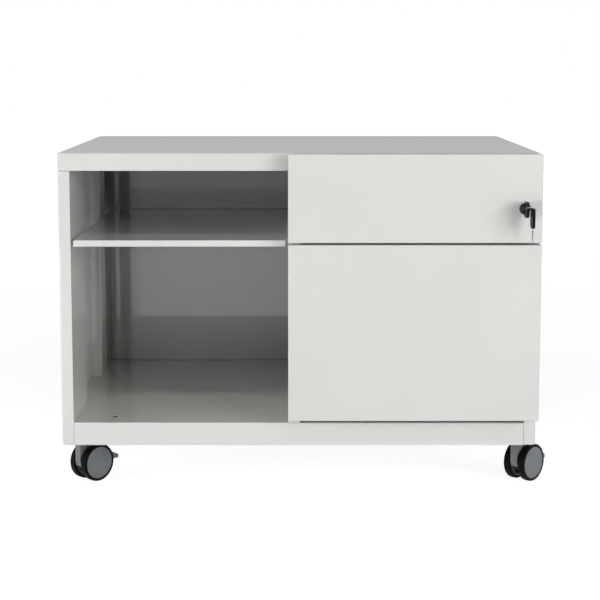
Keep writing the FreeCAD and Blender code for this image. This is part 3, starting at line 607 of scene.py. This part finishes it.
def bayUprights():
    low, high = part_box("bay_uprights")
    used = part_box("shelf")[0].z - uprights["pegDrop"]
    rows = [used - uprights["pegStep"] * step for step in range(3)] + [used + uprights["pegRise"]]
    strips = (
        (low.y, frontPlane + uprights["frontReach"], frontPlane + uprights["frontPegs"], (1,)),
        (high.y - uprights["rearWidth"], high.y, high.y - uprights["rearPegs"], (-1, 1)),
    )
    panels = []
    for start, end, column, folds in strips:
        near, far = Vector((low.x, start, low.z)), Vector((high.x, end, high.z))
        holes = [(Vector((high.x, column, row)), uprights["pegHole"]) for row in rows]
        panels.append((wall(near, far, 0, 1), holes))
        panels += [(wall(near, far, 1, fold), ()) for fold in folds]
    foldedSheet("bayUprights", panels, carcass["tightBend"], "carcass", "bay_uprights")


panPiece("topPanel", "top_panel", (2, -1), "bend", "coated_steel")
panPiece("leftSidePanel", "left_side_panel", (0, 1), "bend")
panPiece("rightSidePanel", "right_side_panel", (0, -1), "bend")
basePan()
panPiece("backPanel", "back_panel", (1, 1), "tightBend")
panPiece("shelf", "shelf", (2, -1), "tightBend")
bayUprights()
print("carcass made")


spotWelds = {"radius": 2.4 * mm, "flatness": 0.09, "pitch": 61 * mm, "inset": 10 * mm,
             "firstRise": 24 * mm, "sunk": 0.02 * mm}
# painted shade: size and depth of the dark discs that stand for the shadow seen through the floor holes
paintedShadeUnderHoles = {"radius": 8.5 * mm, "depth": 4 * mm, "sunk": 3.2 * mm}


def rearSpotWelds():
    low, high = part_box("left_side_panel")
    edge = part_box("right_side_panel")[1].x - spotWelds["inset"]
    heights = [low.z + spotWelds["firstRise"] + spotWelds["pitch"] * step
               for step in range(int((high.z - low.z) / spotWelds["pitch"]))]
    places = [Vector((side * edge, rearPlane - spotWelds["sunk"], height))
              for side in (-1, 1) for height in heights]
    scatterPiece("rearSpotWelds", domeTree, places,
                 {"Radius": spotWelds["radius"], "Flatness": spotWelds["flatness"],
                  "Facing": (0.0, 1.0, 0.0)}, "carcass", "coated_steel")


def floorHolePlugs():  # painted shade: dark discs a little under each floor hole stand in for the shadow under the cabinet seen through the holes
    height = floorTop - paintedShadeUnderHoles["sunk"] - paintedShadeUnderHoles["depth"] / 2
    scatterPiece("floorHolePlugs", paintedShadeTree, floorHolePlaces(height),
                 {"Radius": paintedShadeUnderHoles["radius"], "Depth": paintedShadeUnderHoles["depth"],
                  "Facing": (0.0, 0.0, 1.0)}, "carcass", "key_black")


rearSpotWelds()
floorHolePlugs()
print("welds and plugs made")


drawerFront = {
    "bend": 2 * mm,
    "gripReturn": 18 * mm,   # depth of the left edge, where the fingers go round
    "gripWidth": 22 * mm,
    "lockHole": 8.15 * mm,
}
barrelLow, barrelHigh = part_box("lock_housing")
lockAxis = (barrelLow + barrelHigh) / 2  # its x and z


def makeDrawerFront(name, node, body, holes=()):
    low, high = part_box(node)
    notch, gap = low.y + drawerFront["gripReturn"], low.x + drawerFront["gripWidth"]
    plan = [(low.x, low.y), (high.x, low.y), (high.x, high.y), (gap, high.y), (gap, notch),
            (low.x, notch)]
    over = [Vector((x, y, high.z)) for x, y in plan]
    under = [Vector((x, y, low.z)) for x, y in reversed(plan)]
    panels = [(wall(low, high, 1, -1), holes), (wall(low, high, 0, 1), ()), (over, ()),
              (under, ()), (wall(low, Vector((high.x, notch, high.z)), 0, -1), ())]
    foldedSheet(name, panels, drawerFront["bend"], body, node, "coated_steel")


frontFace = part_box("top_drawer_front")[0].y
makeDrawerFront("topDrawerFront", "top_drawer_front", "top_drawer",
                [(Vector((lockAxis.x, frontFace, lockAxis.z)), drawerFront["lockHole"])])
makeDrawerFront("filingDrawerFront", "filing_drawer_front", "filing_drawer")

runnerRivets = {"radius": 3.0 * mm, "flatness": 0.1, "inset": 26 * mm, "count": 5,
                "web": 1.2 * mm}
trayHem = {"height": 9 * mm, "thickness": 1.2 * mm, "edge": 0.4 * mm,
           "inset": 1 * mm}          # the tray's own sheet


def trayHems(name, body):  # folded rims inside the sides and the back of a tray
    low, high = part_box(body + "_tray")
    inset, thick, drop = trayHem["inset"], trayHem["thickness"], trayHem["height"]
    left, right = low.x + inset, high.x - inset
    near, far, bottom = low.y + inset, high.y - inset, high.z - drop
    strips = [
        (Vector((left, near, bottom)), Vector((left + thick, far, high.z))),
        (Vector((right - thick, near, bottom)), Vector((right, far, high.z))),
        (Vector((left + thick, far - thick, bottom)), Vector((right - thick, far, high.z))),
    ]
    finishPiece(name, joined(*(sheetMesh(boxWalls(*strip)) for strip in strips)), body,
                "coated_steel", (), softEdges(trayHem["edge"], 3))


def rivetRow(name, body):  # heads on the runner webs beside a tray
    low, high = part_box(body + "_runner_members")
    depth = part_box(body + "_tray")[0].x - low.x - runnerRivets["web"]
    start, end = low.y + runnerRivets["inset"], high.y - runnerRivets["inset"]
    count = runnerRivets["count"]
    rows = [start + (end - start) * step / (count - 1) for step in range(count)]
    for hand, x, facing in (("Left", low.x + depth, -1.0), ("Right", high.x - depth, 1.0)):
        scatterPiece(name + hand, domeTree,
                     [Vector((x, row, (low.z + high.z) / 2)) for row in rows],
                     {"Radius": runnerRivets["radius"], "Flatness": runnerRivets["flatness"],
                      "Facing": (facing, 0.0, 0.0)}, body, "bright_steel")


trayHems("topTrayHems", "top_drawer")
rivetRow("topDrawerRivets", "top_drawer")
rivetRow("filingDrawerRivets", "filing_drawer")
print("drawer fronts made")


lock = {"bezel": 9.5 * mm, "bezelRound": 0.8 * mm, "proud": 2 * mm, "barrel": 8 * mm,
        "bore": 5.15 * mm, "edge": 0.05 * mm}
key = {
    "headLength": 33 * mm, "headWidth": 26 * mm, "headThickness": 4.4 * mm,
    "headSteps": 72,
    "squareness": 0.55,      # 1 would be an ellipse, and 0 a box
    "holeInset": 5.2 * mm, "hole": 2.8 * mm, "holeSteps": 28,
    "panelDepth": 0.5 * mm, "panelShift": 2.6 * mm,
    "panelLength": 0.70, "panelWidth": 0.76,  # shares of the head
    "headEdge": 0.35 * mm,
    "bladeWidth": 7 * mm, "bladeLength": 21.2 * mm, "bladeThickness": 1.8 * mm,
    "bladeRoot": 4 * mm,     # how far the blade goes into the head
    "shoulder": 1.5 * mm,
    "plainEnd": 2 * mm,      # left uncut before the first cut and after the last
    "cuts": (0.9, 1.5, 0.6, 1.2, 0.4, 1.0),  # depths along the blade, in mm
    "cutFloor": (0.35, 0.65),  # the flat part of a cut, as shares of its length
    "tipLength": 1.2 * mm, "tipDrop": 1.8 * mm,
    "bladeEdge": 0.12 * mm,
}


def lockHousing():
    start = Vector((lockAxis.x, barrelLow.y, lockAxis.z))
    end = barrelHigh.y - barrelLow.y
    profile = rounded([
        (0, lock["bore"], 0.3 * mm), (0, lock["bezel"], lock["bezelRound"]),
        (lock["proud"], lock["bezel"], 0.1 * mm), (lock["proud"], lock["barrel"], 0.05 * mm),
        (end, lock["barrel"], 0.3 * mm), (end, lock["bore"], 0.1 * mm)], 4)
    shape = turned(profile, start, Vector((0, 1, 0)), 72)
    # the bezel takes the near-black plating, a painted dark reflection
    finishPiece("lockHousing", shape, "top_drawer", "lock_metal", ["lock_housing"],
                softEdges(lock["edge"], 1, 50), "lockFace")


def keyHead(place):  # place(u, v, w): u along the key from the head's middle to its tip
    half, high = key["headLength"] / 2, key["headWidth"] / 2
    oval = []  # between an ellipse and a rounded box
    for turn in turns(key["headSteps"]):
        across, up = math.cos(turn), math.sin(turn)
        oval.append(Vector((half * math.copysign(abs(across) ** key["squareness"], across),
                            high * math.copysign(abs(up) ** key["squareness"], up))))
    panel = [Vector((point.x * key["panelLength"] + key["panelShift"],
                     point.y * key["panelWidth"])) for point in oval]
    hole = [Vector((key["holeInset"] - half + key["hole"] * math.cos(turn),
                    key["hole"] * math.sin(turn))) for turn in turns(key["holeSteps"])]
    thick = key["headThickness"] / 2
    deep = thick - key["panelDepth"]
    core = slab(oval, -deep, deep, place, [hole])
    rims = [slab(oval, *sorted((side * deep, side * thick)), place, [panel])
            for side in (-1, 1)]
    return joined(core, *rims)


def keyBlade(place):
    half, width = key["headLength"] / 2, key["bladeWidth"] / 2
    end, first = half + key["bladeLength"], half + key["plainEnd"]
    edge = [(half - key["bladeRoot"], width), (half + key["shoulder"], width)]
    step = (end - half - 2 * key["plainEnd"]) / len(key["cuts"])
    for index, depth in enumerate(key["cuts"]):
        at = first + index * step
        edge += [(at + share * step, width - depth * mm) for share in key["cutFloor"]]
        edge.append((at + step, width))
    edge += [(end - key["tipLength"], width), (end, width - key["tipDrop"])]
    outline = [Vector(p) for p in edge] + [Vector((u, -v)) for u, v in reversed(edge)]
    flat = key["bladeThickness"] / 2
    return slab(outline, -flat, flat, place)


def makeKey(name, node, body, place):
    finishPiece(name, keyHead(place), body, "key_black", [node], softEdges(key["headEdge"], 2))
    finishPiece(name + "Blade", keyBlade(place), body, "lock_metal", (),
                softEdges(key["bladeEdge"], 1))


lockHousing()
keyLow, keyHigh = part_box("lock_key")
inLock = Vector(((keyLow.x + keyHigh.x) / 2, keyLow.y + key["headLength"] / 2, lockAxis.z))
makeKey("lockKey", "lock_key", "lock_cylinder",
        lambda u, v, w: inLock + Vector((w, u, v)))
spareLow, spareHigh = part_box("spare_key")
hanging = Vector(((spareLow.x + spareHigh.x) / 2, (spareLow.y + spareHigh.y) / 2,
                  spareHigh.z - key["headLength"] / 2))
makeKey("spareKey", "spare_key", "spare_key_on_ring",
        lambda u, v, w: hanging + Vector((w, v, -u)))
print("lock and keys made")


castor = {"trail": 23.5 * mm, "axleHeight": 32.5 * mm}
castorCorners = {  # name: (corner, which way it trails, in degrees)
    "frontLeft": ("front_left", 47), "frontRight": ("front_right", 47),
    "rearLeft": ("rear_left", 133), "rearRight": ("rear_right", 47),
}
joints = {joint["name"]: joint for joint in frame["joints"]}
wheel = {
    "inside": 8 * mm, "outside": 21 * mm, "radius": 32.5 * mm, "shoulder": 3 * mm,
    "rim": 27.5 * mm, "cap": 20.5 * mm,  # the cap's face, from the castor's middle
    "dishRim": 24.6 * mm, "dish": 24.2 * mm, "dishDepth": 0.35 * mm,
    "web": 15.5 * mm, "hollow": 23.5 * mm, "hub": 8 * mm, "axleHole": 4 * mm,
    "steps": 96,
}


def castorWheel(name, node, spot, side):
    axle = spot(0, 1, 0) - spot(0, 0, 0)
    centre = spot(castor["trail"], 0, castor["axleHeight"])
    inside, outside, rim, cap, web = (
        wheel[size] for size in ("inside", "outside", "rim", "cap", "web"))
    dish = cap - wheel["dishDepth"]
    tyre = rounded([
        (inside, rim, 0.2 * mm), (inside, wheel["radius"], wheel["shoulder"]),
        (outside, wheel["radius"], wheel["shoulder"]), (outside, rim, 0.4 * mm)], 6, 0.65)
    disc = rounded([
        (inside, wheel["hollow"], 0.3 * mm), (inside, rim, 0.3 * mm), (cap, rim, 0.5 * mm),
        (cap, wheel["dishRim"], 0.15 * mm), (dish, wheel["dish"], 0.15 * mm), (dish, 0, 0),
        (web, 0, 0), (web, wheel["axleHole"], 0.1 * mm), (inside, wheel["axleHole"], 0.2 * mm),
        (inside, wheel["hub"], 0.3 * mm), (web, wheel["hub"], 0.5 * mm),
        (web, wheel["hollow"], 0.5 * mm)], 3)
    for part, profile, slot in (("Tyre", tyre, "castor_tread"), ("Rim", disc, "castor_grey")):
        shape = turned([(side * along, radius) for along, radius in profile], centre, axle,
                       wheel["steps"])
        finishPiece(name + part, shape, node + "_wheel", slot, [node + "_" + part.lower()],
                    [evenShading(60)])


housing = {  # corners in mm from the swivel's axis and the floor: (along, up, how round)
    "front": ((31.5, 27, 2), (31.5, 58, 2)),
    "hoodRadius": 28.5 * mm, "hoodPoints": 5,  # an arc about the axle
    "hoodEnd": 115, "hoodStep": 8.2,  # in degrees
    "back": ((8, 66, 3), (-7.5, 66, 2), (-7.5, 36, 14), (-4.46, 27, 3)),
    "half": 6.7 * mm,
    "cheek": ((28, 36.6, 0.5), (42.8, 36.6, 4.2), (42.8, 45.4, 4.2), (28, 45.4, 0.5)),
    "cheekStart": 5.1 * mm,
    "neck": 11 * mm, "neckFoot": 65 * mm, "neckTop": 76 * mm,
    "socket": 5.8 * mm, "socketFoot": 74 * mm,  # for the stud, in the neck's top
    "edge": 0.8 * mm,
}


def castorHousing(name, node, spot, braked):
    half, axle = housing["half"], Vector((castor["trail"], castor["axleHeight"]))
    hood = []
    for step in reversed(range(housing["hoodPoints"])):
        turn = math.radians(housing["hoodEnd"] - housing["hoodStep"] * step)
        out = Vector((math.cos(turn), math.sin(turn))) * housing["hoodRadius"]
        hood.append((*(axle + out), 0))
    outline = rounded([*metres(housing["front"]), *hood, *metres(housing["back"])])
    foot, top, sunk = housing["neckFoot"], housing["neckTop"], housing["socketFoot"]
    neck = rounded([
        (foot, 0, 0), (foot, housing["neck"], 0.5 * mm), (top, housing["neck"], 1.2 * mm),
        (top, housing["socket"], 0.3 * mm), (sunk, housing["socket"], 0.2 * mm),
        (sunk, 0, 0)], 4)
    shapes = [slab(outline, -half, half, lambda u, v, w: spot(u, w, v)),
              turned(neck, spot(0, 0, 0), Vector((0, 0, 1)), 48)]
    if braked:  # cheeks that hold the pedal's pin
        cheek = rounded(metres(housing["cheek"]), 6)
        shapes += [slab(cheek, *sorted((side * housing["cheekStart"], side * half)),
                        lambda u, v, w: spot(u, w, v)) for side in (-1, 1)]
    finishPiece(name + "Housing", joined(*shapes), node + "_swivel", "castor_grey",
                [node + "_housing"], softEdges(housing["edge"], 3))


pedal = {  # corners in mm: of the side as the housing's, and of the pad from above
    "side": ((34.4, 41, 4), (38.5, 36.9, 4), (46, 36.5, 3), (58, 34.6, 2), (60.5, 31.2, 2),
             (77.4, 29.1, 1.5), (77.4, 34.8, 1.5), (61, 42.9, 3), (38.5, 43, 3)),
    "half": 4.6 * mm,
    "pad": ((60.6, -12.8, 2.5), (77.4, -7.8, 2.5), (77.4, 7.8, 2.5), (60.6, 12.8, 2.5)),
    "padStart": 60.5 * mm, "padLength": 17 * mm,
    "padTop": (42.9 * mm, 34.9 * mm),     # heights at the pad's root and tip
    "padBottom": (31.2 * mm, 29.1 * mm),
    "edge": 0.7 * mm,
}


def brakePedal(name, node, spot):
    half = pedal["half"]
    arm = slab(rounded(metres(pedal["side"]), 4), -half, half, lambda u, v, w: spot(u, w, v))
    pad = slab(rounded(metres(pedal["pad"])), 0, mm, lambda u, v, w: Vector((u, v, w)))
    for vert in pad.verts:  # both faces slope down to the tip
        share = (vert.co.x - pedal["padStart"]) / pedal["padLength"]
        root, tip = pedal["padTop"] if vert.co.z > mm / 2 else pedal["padBottom"]
        vert.co = spot(vert.co.x, vert.co.y, root + (tip - root) * share)
    finishPiece(name + "BrakePedal", joined(arm, pad), node + "_pedal", "castor_grey",
                [node + "_brake_pedal"], softEdges(pedal["edge"], 3))


def makeCastor(name, corner, turn):
    stand = Vector(joints[corner + "_castor_turn"]["pos_m"])
    along = Vector((math.cos(turn), math.sin(turn), 0))
    across = Vector((-along.y, along.x, 0))

    def spot(u, v, w):  # along the castor, across it and up from the floor
        return Vector((stand.x, stand.y, 0)) + along * u + across * v + Vector((0, 0, w))

    node, braked = corner + "_castor", corner.startswith("front")
    castorHousing(name, node, spot, braked)
    for hand, side in (("left", 1), ("right", -1)):
        castorWheel(name + hand.title(), node + "_" + hand, spot, side)
    if braked:
        brakePedal(name, node, spot)


for name, (corner, degrees) in castorCorners.items():
    makeCastor(name, corner, math.radians(degrees))
print("castors made")


stage = {
    "floorSize": 30.0, "floorWhite": 0.88,
    "lensShare": 0.45,       # how much of the floor's real light the lens sees; the rest glows
    "lensGlow": (1.60, 1.86),   # by the cabinet, and far off
    "glowReach": (1.0, 4.0),
    "mirrorShare": 0.75,     # the same for what glossy faces reflect
    "mirrorGlow": 2.6,
    "ambient": 0.02,
    "roomFront": 0.65,       # how bright glossy faces see the far end in front of the cabinet
}


def background(graph):  # 1 where the lens or a mirror looks, 0 for light that falls on things
    path = {name: graph.make("ShaderNodeLightPath", output=name)
            for name in ("Is Camera Ray", "Is Glossy Ray", "Is Transmission Ray", "Diffuse Depth")}
    seen = path["Is Camera Ray"] + path["Is Glossy Ray"] + path["Is Transmission Ray"]
    leftDull = path["Diffuse Depth"].atMost(1.0)  # 1 on a path that has left a dull face
    return seen.atMost(1.0) * (1 - leftDull)


def makeFloor():
    half, white = stage["floorSize"] / 2, stage["floorWhite"]
    bm = bmesh.new()
    bm.faces.new([bm.verts.new(place) for place in (
        (-half, -half, 0), (half, -half, 0), (half, half, 0), (-half, half, 0))])
    mesh = bpy.data.meshes.new("studioFloor")
    bm.to_mesh(mesh)
    bm.free()
    floor = bpy.data.objects.new("studioFloor", mesh)
    scene.collection.objects.link(floor)
    material = bpy.data.materials.new("studioFloor")
    material.use_nodes = True
    graph = Graph(material.node_tree)
    plain = graph.make("ShaderNodeBsdfDiffuse", None, {"Color": (white, white, white, 1)})
    lens = graph.make("ShaderNodeLightPath", output="Is Camera Ray")
    share = graph.between(lens, 0.0, 1.0, stage["mirrorShare"], stage["lensShare"])
    place = graph.make("ShaderNodeTexCoord", output="Object")
    away = graph.make("ShaderNodeVectorMath", {"operation": "LENGTH"}, [place], "Value")
    lensGlow = graph.between(away, *stage["glowReach"], *stage["lensGlow"])
    strength = graph.between(lens, 0.0, 1.0, stage["mirrorGlow"], lensGlow)
    glow = graph.make("ShaderNodeEmission", None, {"Strength": strength})
    seen = graph.make("ShaderNodeMixShader", None, [share, glow, plain])
    mixed = graph.make("ShaderNodeMixShader", None, [background(graph), plain, seen])
    graph.make("ShaderNodeOutputMaterial", None, {"Surface": mixed})
    mesh.materials.append(material)


def makeWorld():
    world = bpy.data.worlds.new("studio")
    scene.world = world
    world.use_nodes = True
    graph = Graph(world.node_tree)
    seen = background(graph)
    lens = graph.make("ShaderNodeLightPath", output="Is Camera Ray")
    heading = graph.make("ShaderNodeTexCoord", output="Generated")
    depth = graph.make("ShaderNodeSeparateXYZ", None, [heading], "Y")
    room = graph.between(depth, -1.0, 0.0, stage["roomFront"], 1.0)
    bright = lens + (1 - lens) * room
    sky = graph.make("ShaderNodeBackground", None,
                     {"Color": (1, 1, 1, 1),
                      "Strength": seen * bright + (1 - seen) * stage["ambient"]})
    graph.make("ShaderNodeOutputWorld", None, {"Surface": sky})


lamps = {  # name: (place, aim, width, height, watts, shows in reflections)
    "keyRight": ((2.6, -2.5, 0.95), (0.0, -0.2, 0.10), 2.0, 1.6, 78, False),
    "fillLeft": ((-3.0, -2.1, 0.55), (0.0, -0.2, 0.25), 2.2, 0.8, 66, False),
    "sideLeft": ((-3.4, -0.9, 1.0), (0.0, -0.2, 0.30), 1.4, 1.4, 31, False),
    "topStrip": ((0.0, -1.9, 2.60), (0.0, -0.3, 0.40), 3.0, 0.2, 20, True),
}


def makeLamps():
    for name, (place, aim, width, height, watts, mirrored) in lamps.items():
        data = bpy.data.lights.new(name, "AREA")
        data.shape = "RECTANGLE"
        data.size = width
        data.size_y = height
        data.energy = watts
        lamp = bpy.data.objects.new(name, data)
        lamp.location = place
        lamp.visible_glossy = mirrored
        lamp.rotation_euler = (Vector(aim) - Vector(place)).to_track_quat("-Z", "Y").to_euler()
        scene.collection.objects.link(lamp)


view = {
    "place": (-2.5 * mm, -2706.9 * mm, 728.2 * mm),
    "down": 0.1208,          # radians below level
    "lens": 89.93, "sensor": 36,
    "shiftX": 0.0045, "shiftY": -0.10,
    "farthest": 100,
}


def makeCamera():
    data = bpy.data.cameras.new("camera")
    data.lens = view["lens"]
    data.sensor_width = view["sensor"]
    data.shift_x = view["shiftX"]
    data.shift_y = view["shiftY"]
    data.clip_end = view["farthest"]
    camera = bpy.data.objects.new("camera", data)
    camera.location = view["place"]
    camera.rotation_euler = (math.pi / 2 - view["down"], 0, 0)
    scene.collection.objects.link(camera)
    scene.camera = camera


makeFloor()
makeWorld()
makeLamps()
makeCamera()
scene.view_settings.view_transform = "Standard"
print("stage, lamps and camera made")
